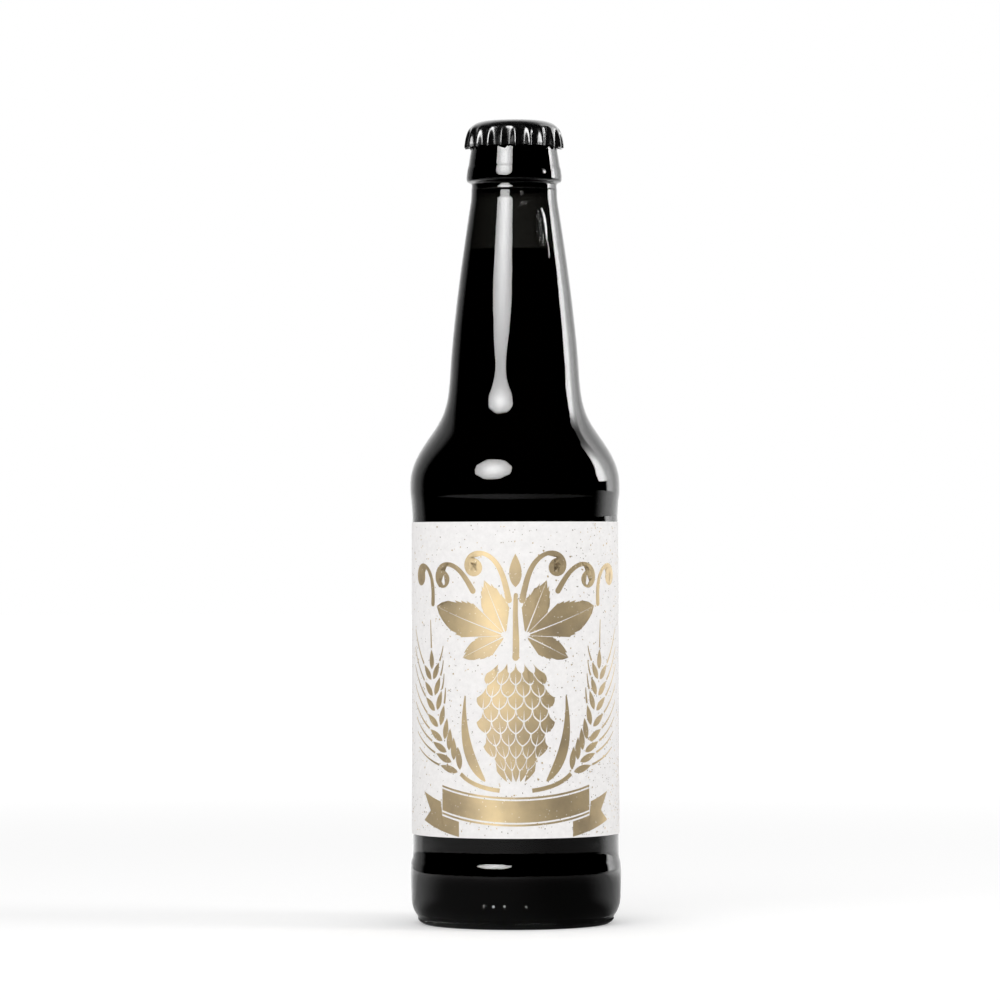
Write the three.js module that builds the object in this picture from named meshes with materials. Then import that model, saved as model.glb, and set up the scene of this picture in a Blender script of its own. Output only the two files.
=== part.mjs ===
// A long-neck beer bottle of dark glass, filled with dark beer, shut with a crown cap and wrapped in a label.
// Units are millimetres and +Z is up. The origin is the centre of the ring that the bottle stands on.
// Every outline is drawn as radius and height, from the bottom up, and turned round the +Z axis.

import * as THREE from "three";

// The foot: a flat ring round a shallow push-up.
const FOOT = { innerRadius: 20.5, outerRadius: 26.3, pushUp: 3.2 };

// The heel rounds up from the foot and swells a little before the panel.
const HEEL = { cornerRadius: 30.2, cornerTop: 8, swellRadius: 30.5, swellTop: 15.2 };

// The straight panel that carries the label.
const PANEL = { radius: 29.5, bottom: 22, top: 118.4 };

// The side above the panel: two handles and an end, as radius and height, for each curve in turn.
const SIDE_CURVES = [
  [[29.5, 121.9], [30.2, 122.6], [30.2, 126.1]], // out to the shoulder's widest ring
  [[30.2, 132.3], [27.0, 136.5], [23.5, 141.5]], // over the shoulder
  [[19.7, 147.0], [19.1, 150.3], [18.5, 159.7]], // in under the shoulder, up into the neck
  [[17.4, 177.5], [13.5, 201.3], [12.5, 208.0]], // the neck's long taper
];

// The finish: a waist, a collar that leans in as it rises, and the lip that the cap sits on.
const WAIST = { radius: 12.35, height: 210.2 };
const COLLAR = { radius: 13.75, bottom: 212.2, top: 215 };
const LIP = {
  footRadius: 12.4, footHeight: 222.9,
  radius: 11.8, straightFrom: 224.4, roundFrom: 226.8,
  flatRadius: 9.3, top: 230.2,
};

// The hollow in the glass.
const WALL = 2.15;
const FLOOR = { centre: 7.6, edge: 5.6, cornerTop: 16 };
const BORE = { radius: 8.3, bottom: 219, chamfer: 0.8 };

const BEER_LEVEL = 193;
const LABEL = { bottom: 26, top: 115.6, thickness: 0.2 };

// The crown cap, with its flutes pressed into the skirt.
const CAP = {
  top: 231, flatRadius: 9.6,
  cornerRadius: 13.4, cornerHeight: 227.6,
  midRadius: 14.2, midHeight: 225.4,
  skirtRadius: 14.3, bottom: 223.1,
};
const CAP_SHEET = 0.5;
const FLUTES = { count: 21, depth: 1.1, top: 229.4, firstRidge: THREE.MathUtils.degToRad(1.6) };

// Pieces that touch keep this gap.
const GAP = 0.3;

// How finely round shapes are cut into flat faces.
const ROUND_STEPS = 44;
const FLUTE_STEPS = 4;
const OUTSIDE_STEPS = 4;
const HOLLOW_STEPS = 3;

// Turns a closed outline, or one that starts and ends on the axis, into a solid.
// Its first corner is at the angle start.
function turned(points, steps = ROUND_STEPS, start = 0) {
  return new THREE.LatheGeometry(points, steps, start).rotateX(Math.PI / 2);
}

// Draws the side from the panel up to the top of the neck, moved in by inset.
function addSide(outline, inset) {
  outline.lineTo(PANEL.radius - inset, PANEL.top);
  for (const [[r1, z1], [r2, z2], [r3, z3]] of SIDE_CURVES) {
    outline.bezierCurveTo(r1 - inset, z1, r2 - inset, z2, r3 - inset, z3);
  }
}

// Draws a hollow from the centre of its floor up to the top of the neck, moved in by inset.
function hollow(inset) {
  const wall = PANEL.radius - inset;
  const lift = inset - WALL;
  const outline = new THREE.Path();
  outline.moveTo(0, FLOOR.centre + lift);
  outline.quadraticCurveTo(wall * 0.3, FLOOR.centre + lift, wall * 0.6, FLOOR.edge + lift);
  outline.bezierCurveTo(wall * 0.85, FLOOR.edge + lift, wall, FLOOR.edge + 3, wall, FLOOR.cornerTop);
  addSide(outline, inset);
  return outline;
}

// The glass from the middle of its push-up to the flat top of the lip.
function outside() {
  const outline = new THREE.Path();
  outline.moveTo(0, FOOT.pushUp);
  outline.bezierCurveTo(10, FOOT.pushUp, 16, 1.2, FOOT.innerRadius, 0);
  outline.lineTo(FOOT.outerRadius, 0);
  outline.bezierCurveTo(28, 0.6, 29.9, 4, HEEL.cornerRadius, HEEL.cornerTop);
  outline.lineTo(HEEL.swellRadius, HEEL.swellTop);
  outline.bezierCurveTo(HEEL.swellRadius, 17.8, PANEL.radius, 19.4, PANEL.radius, PANEL.bottom);
  addSide(outline, 0);
  outline.lineTo(WAIST.radius, WAIST.height);
  const { radius, bottom, top } = COLLAR;
  outline.bezierCurveTo(WAIST.radius, bottom + 0.8, radius, bottom, radius, top - 0.8);
  outline.lineTo(radius, top);
  outline.lineTo(LIP.footRadius, LIP.footHeight);
  outline.lineTo(LIP.radius, LIP.straightFrom);
  outline.lineTo(LIP.radius, LIP.roundFrom);
  outline.quadraticCurveTo(LIP.radius, LIP.top, LIP.flatRadius, LIP.top);
  return outline;
}

function glassBottle() {
  const inside = hollow(WALL);
  const neck = inside.currentPoint;
  inside.bezierCurveTo(neck.x - 0.3, neck.y + 4, BORE.radius, BORE.bottom - 4, BORE.radius, BORE.bottom);
  inside.lineTo(BORE.radius, LIP.top - BORE.chamfer);
  return turned([...outside().getPoints(OUTSIDE_STEPS), ...inside.getPoints(HOLLOW_STEPS).reverse()]);
}

// The beer follows the hollow up to its level, where its flat top runs in to the axis.
function beer() {
  const wall = hollow(WALL + GAP).getPoints(HOLLOW_STEPS);
  const above = wall.findIndex((point) => point.y > BEER_LEVEL);
  const [low, high] = [wall[above - 1], wall[above]];
  const edge = THREE.MathUtils.mapLinear(BEER_LEVEL, low.y, high.y, low.x, high.x);
  const top = [new THREE.Vector2(edge, BEER_LEVEL), new THREE.Vector2(0, BEER_LEVEL)];
  return turned([...wall.slice(0, above), ...top]);
}

function label() {
  const inner = PANEL.radius + GAP;
  const outer = inner + LABEL.thickness;
  const outline = new THREE.Path();
  outline.moveTo(inner, LABEL.bottom);
  outline.lineTo(outer, LABEL.bottom);
  outline.lineTo(outer, LABEL.top);
  outline.lineTo(inner, LABEL.top);
  outline.lineTo(inner, LABEL.bottom);
  return turned(outline.getPoints());
}

// Presses the flutes into a plain turned cap: between ridges that grow towards the rim, the sheet is
// pushed in. Angles are counted from the front, -Y.
function pressFlutes(geometry) {
  const position = geometry.getAttribute("position");
  const place = new THREE.Vector3();
  for (let i = 0; i < position.count; i += 1) {
    place.fromBufferAttribute(position, i);
    const radius = Math.hypot(place.x, place.y);
    const fall = THREE.MathUtils.clamp((FLUTES.top - place.z) / (FLUTES.top - CAP.bottom), 0, 1);
    const angle = Math.atan2(place.x, -place.y) - FLUTES.firstRidge;
    const valley = 0.5 - 0.5 * Math.cos(FLUTES.count * angle);
    if (radius > CAP.flatRadius) {
      const scale = 1 - (FLUTES.depth * fall * valley) / radius;
      position.setXYZ(i, place.x * scale, place.y * scale, place.z);
    }
  }
  return geometry;
}

function crownCap() {
  const outline = new THREE.Path();
  outline.moveTo(0, CAP.top - CAP_SHEET);
  outline.lineTo(CAP.flatRadius, CAP.top - CAP_SHEET);
  outline.quadraticCurveTo(12.1, CAP.top - 0.8, CAP.cornerRadius - CAP_SHEET, CAP.cornerHeight);
  outline.lineTo(CAP.midRadius - CAP_SHEET, CAP.midHeight);
  outline.lineTo(CAP.skirtRadius - CAP_SHEET, CAP.bottom);
  outline.lineTo(CAP.skirtRadius, CAP.bottom);
  outline.lineTo(CAP.midRadius, CAP.midHeight);
  outline.lineTo(CAP.cornerRadius, CAP.cornerHeight);
  outline.quadraticCurveTo(12.5, CAP.top - 0.1, CAP.flatRadius, CAP.top);
  outline.lineTo(0, CAP.top);
  return pressFlutes(turned(outline.getPoints(OUTSIDE_STEPS), FLUTES.count * FLUTE_STEPS, FLUTES.firstRidge));
}

const bottle = new THREE.Group();

function add(name, geometry, finish) {
  const mesh = new THREE.Mesh(geometry, new THREE.MeshStandardMaterial(finish));
  mesh.name = name;
  bottle.add(mesh);
}

add("glass_bottle", glassBottle(), { color: 0x060606, roughness: 0.05, metalness: 0 });
add("beer", beer(), { color: 0x0a0605, roughness: 0.2, metalness: 0 });
add("label", label(), { color: 0xf1efed, roughness: 0.6, metalness: 0 });
add("crown_cap", crownCap(), { color: 0x0b0b0b, roughness: 0.25, metalness: 0 });

export default bottle;
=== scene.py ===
"""A long-neck bottle of dark beer under a crown cap, with a foil-printed paper label.

Sizes in the classes are millimetres, as on a maker's drawing, and MM turns them to metres. The front of the
label faces -Y, +Z is up, and the origin is the centre of the ring that the bottle stands on.
"""

import logging
import math
import random
from collections.abc import Callable, Sequence
from dataclasses import dataclass, field
from enum import Enum

import bmesh
import bpy
from mathutils import Matrix, Vector, geometry, noise


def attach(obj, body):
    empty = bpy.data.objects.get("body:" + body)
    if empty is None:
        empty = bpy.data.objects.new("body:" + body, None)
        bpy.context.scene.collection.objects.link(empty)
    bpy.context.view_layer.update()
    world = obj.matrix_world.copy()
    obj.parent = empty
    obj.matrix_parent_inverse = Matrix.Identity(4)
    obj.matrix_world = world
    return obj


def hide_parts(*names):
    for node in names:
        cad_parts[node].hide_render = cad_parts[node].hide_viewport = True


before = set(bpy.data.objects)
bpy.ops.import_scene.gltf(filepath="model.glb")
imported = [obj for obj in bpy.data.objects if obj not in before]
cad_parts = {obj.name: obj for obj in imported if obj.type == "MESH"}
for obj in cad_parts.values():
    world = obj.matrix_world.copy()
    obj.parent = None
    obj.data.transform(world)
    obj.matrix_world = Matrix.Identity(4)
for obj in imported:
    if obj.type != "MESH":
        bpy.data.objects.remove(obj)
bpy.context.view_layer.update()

LOG = logging.getLogger("bottle")
MM = 0.001
BODY = "root"
FRONT = -math.pi / 2

# The Mix node's sockets by number, because its names repeat.
FACTOR = 0
NUMBER_A, NUMBER_B = 2, 3
COLOUR_A, COLOUR_B, COLOUR_OUT = 6, 7, 2

BMesh = bmesh.types.BMesh
Material = bpy.types.Material
Node = bpy.types.Node
Piece = bpy.types.Object
Socket = bpy.types.NodeSocket
Tree = bpy.types.NodeTree
Shape = list[Vector]


def linear(hex_colour: str) -> tuple[float, float, float, float]:
    """Turns an sRGB colour to the linear values that shaders take.

    Args:
        hex_colour: The colour as "#rrggbb".

    Returns:
        Linear red, green and blue, and an alpha of 1.
    """
    parts = [int(hex_colour[i : i + 2], 16) / 255 for i in (1, 3, 5)]
    red, green, blue = (c / 12.92 if c <= 0.04045 else ((c + 0.055) / 1.055) ** 2.4 for c in parts)
    return red, green, blue, 1.0


def add_node(tree: Tree, kind: str, sockets: dict | None = None, **settings: str) -> Node:
    """Adds a node to a tree.

    Args:
        tree: The tree that the node goes in.
        kind: The node's type, such as "TexNoise".
        sockets: What goes into each input, by its name or number: a value, a hex colour, another node's
            output, or a node, which stands for its first output.
        settings: The node's own attributes.

    Returns:
        The new node.
    """
    node = tree.nodes.new("ShaderNode" + kind)
    for name, value in settings.items():
        setattr(node, name, value)
    for name, value in (sockets or {}).items():
        source = value.outputs[0] if isinstance(value, Node) else value
        if isinstance(source, Socket):
            tree.links.new(source, node.inputs[name])
        else:
            node.inputs[name].default_value = linear(source) if isinstance(source, str) else source
    return node


def new_material(name: str) -> tuple[Material, Tree]:
    """Makes a material with an empty tree.

    Args:
        name: The material's name.

    Returns:
        The material and its tree.
    """
    material = bpy.data.materials.new(name)
    material.use_nodes = True
    material.node_tree.nodes.clear()
    return material, material.node_tree


def smooth_step(low: float, high: float, value: float) -> float:
    """Goes smoothly from 0 at low to 1 at high, and works downwards too where low is the larger."""
    part = min(max((value - low) / (high - low), 0.0), 1.0)
    return part * part * (3 - 2 * part)


def make_piece(bm: BMesh, name: str, material: Material, sharp_above: float = 38.0) -> Piece:
    """Turns a finished bmesh into a piece of the bottle that rides on its body.

    Args:
        bm: The shape, in metres. It is freed.
        name: The piece's name.
        material: What the piece is made of.
        sharp_above: Edges that fold by more than this many degrees are shaded sharp.

    Returns:
        The new piece.
    """
    for face in bm.faces:
        face.smooth = True
    for edge in bm.edges:
        edge.smooth = edge.is_manifold and edge.calc_face_angle(0.0) < math.radians(sharp_above)
    mesh = bpy.data.meshes.new(name)
    bm.to_mesh(mesh)
    bm.free()
    mesh.materials.append(material)
    piece = bpy.data.objects.new(name, mesh)
    bpy.context.scene.collection.objects.link(piece)
    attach(piece, BODY)
    LOG.info("%s: %d faces", name, len(mesh.polygons))
    return piece


@dataclass(frozen=True)
class Grain:
    """A cloudy pattern over a piece, with blotches of a real size in millimetres.

    detail is how many finer layers it has, and roughness how strong those are.
    """

    size: float
    detail: float = 2.0
    roughness: float = 0.5

    def add(self, tree: Tree) -> Node:
        """Adds the pattern.

        Args:
            tree: The tree that it goes in.

        Returns:
            The node that has its values, about 0.3 to 0.7.
        """
        place = add_node(tree, "TexCoord").outputs["Object"]
        layers = {"Detail": self.detail, "Roughness": self.roughness}
        return add_node(tree, "TexNoise", {"Vector": place, "Scale": 1 / (self.size * MM), **layers})

    def spread(self, tree: Tree, low: float, high: float) -> Node:
        """Adds the pattern with its values spread from low to high."""
        reach = {"From Min": 0.3, "From Max": 0.7, "To Min": low, "To Max": high}
        return add_node(tree, "MapRange", {"Value": self.add(tree), **reach})

    def tones(self, tree: Tree, first: str, second: str) -> Socket:
        """Adds two hex colours that shade into each other over the pattern, and returns their mix."""
        colours = {FACTOR: self.spread(tree, 0.0, 1.0), COLOUR_A: first, COLOUR_B: second}
        return add_node(tree, "Mix", colours, data_type="RGBA").outputs[COLOUR_OUT]

    def relief(self, tree: Tree, depth: float) -> Node:
        """Adds the pattern as relief of a depth in millimetres, for a surface's normal."""
        return add_node(tree, "Bump", {"Height": self.add(tree), "Distance": depth * MM})


@dataclass(frozen=True)
class Finish:
    """A named finish. Each kind of finish fills the sockets of its surface in its own way."""

    name: str

    def surface(self, tree: Tree) -> dict:
        """Adds the finish's patterns, and returns what goes into each socket of the Principled shader."""
        raise NotImplementedError

    def depth(self, tree: Tree) -> Node | None:
        """Adds what light meets inside the piece, if it gets in."""
        return None

    def material(self) -> Material:
        """Builds the material.

        Returns:
            The new material.
        """
        material, tree = new_material(self.name)
        shaders = {"Surface": add_node(tree, "BsdfPrincipled", self.surface(tree))}
        depth = self.depth(tree)
        if depth is not None:
            shaders["Volume"] = depth
        add_node(tree, "OutputMaterial", shaders)
        return material


@dataclass(frozen=True)
class MouldedGlass(Finish):
    """Soda-lime container glass, melted almost black and blown in an iron mould.

    The melt swallows light within a millimetre or so, and the mould leaves the fire-polished skin very
    slightly rippled, so reflections have sharp but uneven edges.
    """

    tint: str = "#cbcbc9"
    density: float = 2700.0
    refraction: float = 1.52
    smears: Grain = Grain(9.0, 4.0, 0.6)
    ripple: Grain = Grain(3.2, 1.0)
    ripple_depth: float = 0.008

    def surface(self, tree: Tree) -> dict:
        """Makes the skin clear, with the faintest smears."""
        return {"Base Color": "#ffffff", "IOR": self.refraction, "Transmission Weight": 1.0,
                "Roughness": self.smears.spread(tree, 0.0, 0.012),
                "Normal": self.ripple.relief(tree, self.ripple_depth)}

    def depth(self, tree: Tree) -> Node:
        """Makes the glass dark in its depth."""
        return add_node(tree, "VolumeAbsorption", {"Color": self.tint, "Density": self.density})


@dataclass(frozen=True)
class DarkBeer(Finish):
    """Stout: roasted malt makes it black to the eye in anything wider than a finger."""

    deep: str = "#020101"
    thin: str = "#070403"
    cloud: Grain = Grain(14.0)

    def surface(self, tree: Tree) -> dict:
        """Gives the still liquid a barely uneven black."""
        return {"Base Color": self.cloud.tones(tree, self.deep, self.thin), "Roughness": 0.12, "IOR": 1.34,
                "Specular IOR Level": 0.1}


@dataclass(frozen=True)
class BakedEnamel(Finish):
    """Black lacquer baked on tinplate before the cap was pressed: deep gloss with a little orange peel."""

    colour: str = "#030304"
    scuffed: str = "#090909"
    marks: Grain = Grain(2.2, 5.0, 0.65)
    peel: Grain = Grain(0.45, 2.0)
    peel_depth: float = 0.004

    def surface(self, tree: Tree) -> dict:
        """Adds the orange peel, and the handling marks that dull the gloss in patches."""
        return {"Base Color": self.marks.tones(tree, self.colour, self.scuffed), "IOR": 1.5,
                "Coat Weight": 0.8, "Coat Roughness": 0.12, "Roughness": self.marks.spread(tree, 0.2, 0.34),
                "Normal": self.peel.relief(tree, self.peel_depth)}


@dataclass(frozen=True)
class UncoatedPaper(Finish):
    """Wet-strength white label paper, uncoated: matt, with a fibrous tooth and a faint cloudiness.

    The tooth of real paper is finer, and is drawn as coarse as it needs to be to show.
    """

    bright: str = "#f2f0ef"
    dull: str = "#e7e5e4"
    cloud: Grain = Grain(1.6, 5.0, 0.7)
    tooth: Grain = Grain(0.3, 4.0, 0.65)
    tooth_depth: float = 0.015

    def surface(self, tree: Tree) -> dict:
        """Mixes two near-whites and adds the tooth."""
        return {"Base Color": self.cloud.tones(tree, self.bright, self.dull), "Roughness": 0.72, "IOR": 1.45,
                "Specular IOR Level": 0.35, "Normal": self.tooth.relief(tree, self.tooth_depth)}


@dataclass(frozen=True)
class PressedFoil(Finish):
    """Gold foil, hot-pressed on uncoated paper.

    The paper's tooth breaks its shine and leaves pinholes in it, so metal is only a part of what shows. The
    tooth is drawn as coarse as it needs to be to show.
    """

    warm: str = "#e0c99c"
    cool: str = "#b9a585"
    bare: str = "#f2ece0"
    metal: float = 0.6
    tone: Grain = Grain(13.0, 4.0, 0.55)
    shine: Grain = Grain(0.8, 4.0, 0.7)
    tooth: Grain = Grain(0.35, 3.0, 0.6)
    tooth_depth: float = 0.015
    pinhole_spacing: float = 1.3
    pinhole_edge: tuple[float, float] = (0.06, 0.14)

    def surface(self, tree: Tree) -> dict:
        """Mixes two golds, lets paper show through the pinholes, and breaks the shine.

        Args:
            tree: The material's tree.

        Returns:
            What goes into each socket.
        """
        place = add_node(tree, "TexCoord").outputs["Object"]
        spots = add_node(tree, "TexVoronoi", {"Vector": place, "Scale": 1 / (self.pinhole_spacing * MM)})
        inner, outer = self.pinhole_edge
        reach = {"From Min": inner, "From Max": outer, "To Min": 1.0, "To Max": 0.0}
        hole = add_node(tree, "MapRange", {"Value": spots.outputs["Distance"], **reach})
        colours = {FACTOR: hole, COLOUR_A: self.tone.tones(tree, self.warm, self.cool), COLOUR_B: self.bare}
        colour = add_node(tree, "Mix", colours, data_type="RGBA").outputs[COLOUR_OUT]
        metal = add_node(tree, "MapRange", {"Value": hole, "To Min": self.metal, "To Max": 0.0})
        return {"Base Color": colour, "Metallic": metal, "Roughness": self.shine.spread(tree, 0.34, 0.52),
                "Normal": self.tooth.relief(tree, self.tooth_depth)}


@dataclass(frozen=True)
class PrintInk(Finish):
    """Thin offset ink on paper, for the flecks: matt and a little uneven."""

    dark: str = "#7a7369"
    light: str = "#aba395"
    tone: Grain = Grain(2.5, 2.0)

    def surface(self, tree: Tree) -> dict:
        """Mixes two greys from fleck to fleck."""
        return {"Base Color": self.tone.tones(tree, self.dark, self.light), "Roughness": 0.7}


def along(knots: Sequence[tuple | Vector], steps: int) -> Shape:
    """Returns points along a curve, given by its start, two handles and end."""
    return [p.copy() for p in geometry.interpolate_bezier(*(Vector(k) for k in knots), steps)]


@dataclass
class Outline:
    """A side view drawn in order, as points of radius and height in millimetres."""

    points: Shape = field(default_factory=list)

    def line_to(self, radius: float, height: float, steps: int = 1) -> None:
        """Draws a straight stretch, or sets the pen down if nothing is drawn yet.

        Args:
            radius: The radius at its end.
            height: The height at its end.
            steps: How many steps it is cut into.
        """
        end = Vector((radius, height))
        start = self.points[-1] if self.points else end
        self.points.extend(start.lerp(end, k / steps) for k in range(1, steps + 1))

    def curve_to(self, handle_1: tuple, handle_2: tuple, end: tuple, steps: int) -> None:
        """Draws a curve with two handles, cut into steps."""
        self.points.extend(along([self.points[-1], handle_1, handle_2, end], steps + 1)[1:])

    def moved_in(self, inset: float) -> "Outline":
        """Returns the outline with every radius made smaller by inset."""
        return Outline([Vector((p.x - inset, p.y)) for p in self.points])

    def radius_at(self, height: float) -> float:
        """Reads the radius at a height, between the outline's points.

        Args:
            height: The height.

        Returns:
            The radius.

        Raises:
            ValueError: The outline doesn't reach that height.
        """
        for low, high in zip(self.points, self.points[1:]):
            if min(low.y, high.y) <= height <= max(low.y, high.y) and low.y != high.y:
                return low.x + (high.x - low.x) * (height - low.y) / (high.y - low.y)
        raise ValueError(f"the outline doesn't reach a height of {height}")

    def turned(self, steps: int) -> BMesh:
        """Spins the outline, which starts and ends on the axis, round the bottle's axis.

        Args:
            steps: How many steps make the full turn.

        Returns:
            The closed shape, in metres, with its faces pointing out.
        """
        bm = bmesh.new()
        verts = [bm.verts.new((p.x * MM, 0, p.y * MM)) for p in self.points]
        edges = [bm.edges.new(pair) for pair in zip(verts, verts[1:])]
        bmesh.ops.spin(bm, geom=verts + edges, cent=(0, 0, 0), axis=(0, 0, 1), angle=math.tau, steps=steps,
                       use_merge=True)
        bmesh.ops.remove_doubles(bm, verts=bm.verts[:], dist=1e-7)
        bmesh.ops.recalc_face_normals(bm, faces=bm.faces[:])
        return bm


@dataclass
class Glass:
    """The blown bottle: foot, heel, label panel, shoulder, neck, collar and lip.

    The ripple fades in over the foot and out under the cap, each between two heights.
    """

    foot_inner: float = 20.5
    foot_outer: float = 26.3
    push_up: float = 3.2
    seam_height: float = 2.6
    heel_radius: float = 30.2
    heel_top: float = 8.0
    swell_radius: float = 30.46
    swell_top: float = 15.2
    panel_low_radius: float = 29.76
    panel_high_radius: float = 29.6
    panel_bottom: float = 21.8
    panel_top: float = 117.6
    shoulder_radius: float = 30.19
    wall: float = 2.15
    floor_centre: float = 7.6
    floor_edge: float = 5.6
    bore_radius: float = 8.3
    bore_bottom: float = 219.0
    lip_radius: float = 12.0
    lip_top: float = 230.2
    ripple_depth: float = 0.02
    ripple_size: float = 7.0
    long_ripple_size: float = 19.0
    ripple_in: tuple[float, float] = (3.0, 9.0)
    ripple_out: tuple[float, float] = (222.0, 214.0)
    turn_steps: int = 192

    def panel_radius(self, height: float) -> float:
        """Returns the radius of the label panel, which narrows very slightly upwards."""
        part = (height - self.panel_bottom) / (self.panel_top - self.panel_bottom)
        return self.panel_low_radius + (self.panel_high_radius - self.panel_low_radius) * part

    def add_side(self, outline: Outline) -> None:
        """Draws the side from the bottom of the panel to the top of the neck's taper.

        Args:
            outline: What it is drawn on, with the pen at the bottom of the panel.
        """
        outline.line_to(self.panel_high_radius, self.panel_top, 50)
        outline.curve_to((29.7, 119.2), (29.85, 121.2), (29.97, 122.3), 5)
        outline.curve_to((30.03, 122.75), (30.14, 123.2), (30.165, 123.9), 4)
        outline.curve_to((30.18, 124.5), (self.shoulder_radius, 125.2), (self.shoulder_radius, 126.1), 3)
        outline.curve_to((30.2, 132.3), (27.0, 136.5), (23.5, 141.5), 16)
        outline.curve_to((19.7, 147.0), (19.1, 150.3), (18.5, 159.7), 16)
        outline.curve_to((17.4, 177.5), (13.5, 201.3), (12.5, 208.0), 34)

    def outside(self) -> Outline:
        """Draws the outside.

        Returns:
            The outline from the middle of the push-up to the mouth.
        """
        outline = Outline()
        outline.line_to(0, self.push_up)
        outline.curve_to((10, self.push_up), (16, 1.2), (self.foot_inner, 0), 12)
        outline.line_to(self.foot_outer, 0, 3)
        outline.curve_to((27.3, 0.1), (27.9, 1.2), (28.42, self.seam_height - 0.15), 6)
        outline.line_to(28.4, self.seam_height)
        outline.line_to(28.62, self.seam_height + 0.12)
        outline.curve_to((29.6, 4.2), (30.1, 5.6), (self.heel_radius, self.heel_top), 8)
        outline.curve_to((30.28, 10.4), (self.swell_radius, 12.6), (self.swell_radius, self.swell_top), 8)
        outline.curve_to((self.swell_radius, 15.9), (30.36, 16.5), (30.31, 17.15), 4)
        outline.curve_to((30.275, 17.82), (29.96, 18.47), (29.93, 19.15), 10)
        panel_start = (self.panel_low_radius, self.panel_bottom)
        outline.curve_to((29.86, 19.9), (self.panel_low_radius, 20.8), panel_start, 5)
        self.add_side(outline)
        outline.line_to(12.45, 208.35)
        outline.line_to(12.33, 210.95, 6)
        outline.curve_to((12.33, 211.02), (12.4, 211.08), (12.4, 211.16), 2)
        outline.curve_to((12.4, 211.24), (12.32, 211.28), (12.31, 211.36), 2)
        outline.line_to(12.25, 212.35, 2)
        outline.curve_to((12.2, 212.6), (12.3, 212.85), (12.6, 213.0), 4)
        outline.curve_to((12.9, 213.12), (13.1, 213.2), (13.3, 213.35), 3)
        outline.curve_to((13.6, 213.5), (13.76, 213.8), (13.76, 214.4), 5)
        outline.curve_to((13.77, 215.0), (13.67, 216.1), (13.5, 217.0), 6)
        outline.curve_to((13.43, 217.35), (13.29, 217.75), (13.2, 218.1), 4)
        outline.curve_to((13.08, 218.7), (12.71, 221.0), (12.43, 222.9), 8)
        outline.line_to(self.lip_radius, 224.2, 2)
        outline.line_to(self.lip_radius, 226.6, 2)
        outline.curve_to((self.lip_radius, 228.8), (11.2, self.lip_top), (9.6, self.lip_top), 6)
        return outline

    def inside(self) -> Outline:
        """Draws the hollow.

        Returns:
            The outline from the centre of its floor to the mouth.
        """
        wall_radius = self.panel_low_radius - self.wall
        outline = Outline()
        outline.line_to(0, self.floor_centre)
        outline.curve_to((6, self.floor_centre), (12, self.floor_edge), (16.5, self.floor_edge), 8)
        outline.curve_to((23, self.floor_edge), (wall_radius, 8.6), (wall_radius, self.swell_top + 1), 10)
        side = Outline([Vector((self.panel_low_radius, self.panel_bottom))])
        self.add_side(side)
        outline.points.extend(side.moved_in(self.wall).points)
        neck = outline.points[-1]
        bore = self.bore_radius
        outline.curve_to((neck.x - 0.4, neck.y + 4), (bore, 215), (bore, self.bore_bottom), 8)
        outline.line_to(bore, self.lip_top - 0.9, 4)
        outline.curve_to((bore, self.lip_top - 0.2), (8.6, self.lip_top), (9.2, self.lip_top), 4)
        return outline

    def ripple(self, bm: BMesh) -> None:
        """Gives the blown wall its very slight waviness.

        Args:
            bm: The turned shape, in metres.
        """
        for vert in bm.verts:
            height = vert.co.z / MM
            radius = math.hypot(vert.co.x, vert.co.y)
            keep = smooth_step(*self.ripple_in, height) * smooth_step(*self.ripple_out, height)
            if keep and radius > 1 * MM:
                wave = noise.noise(vert.co / (self.ripple_size * MM))
                wave += 0.5 * noise.noise(vert.co / (self.long_ripple_size * MM))
                vert.co.xy *= 1 + wave * keep * self.ripple_depth * MM / radius

    def surface_point(self, turn: float, height: float, sunk: float = 0.0) -> Vector:
        """Returns a point on the outside, in millimetres, at degrees round to the right from the front."""
        radius, angle = self.outside().radius_at(height) - sunk, FRONT + math.radians(turn)
        return Vector((math.cos(angle) * radius, math.sin(angle) * radius, height))

    def build(self, material: Material) -> Piece:
        """Builds the glass, inside and out.

        Args:
            material: What it is made of.

        Returns:
            The new piece.
        """
        shell = Outline(self.outside().points + list(reversed(self.inside().points)))
        bm = shell.turned(self.turn_steps)
        self.ripple(bm)
        glass = make_piece(bm, "bottle_glass", material)
        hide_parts("glass_bottle")
        return glass


@dataclass(frozen=True)
class Run:
    """A thin run in the glass: its two ends' heights and turns, its width, and how proud it stands."""

    low: float
    high: float
    low_turn: float
    high_turn: float
    width: float
    proud: float


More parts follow.
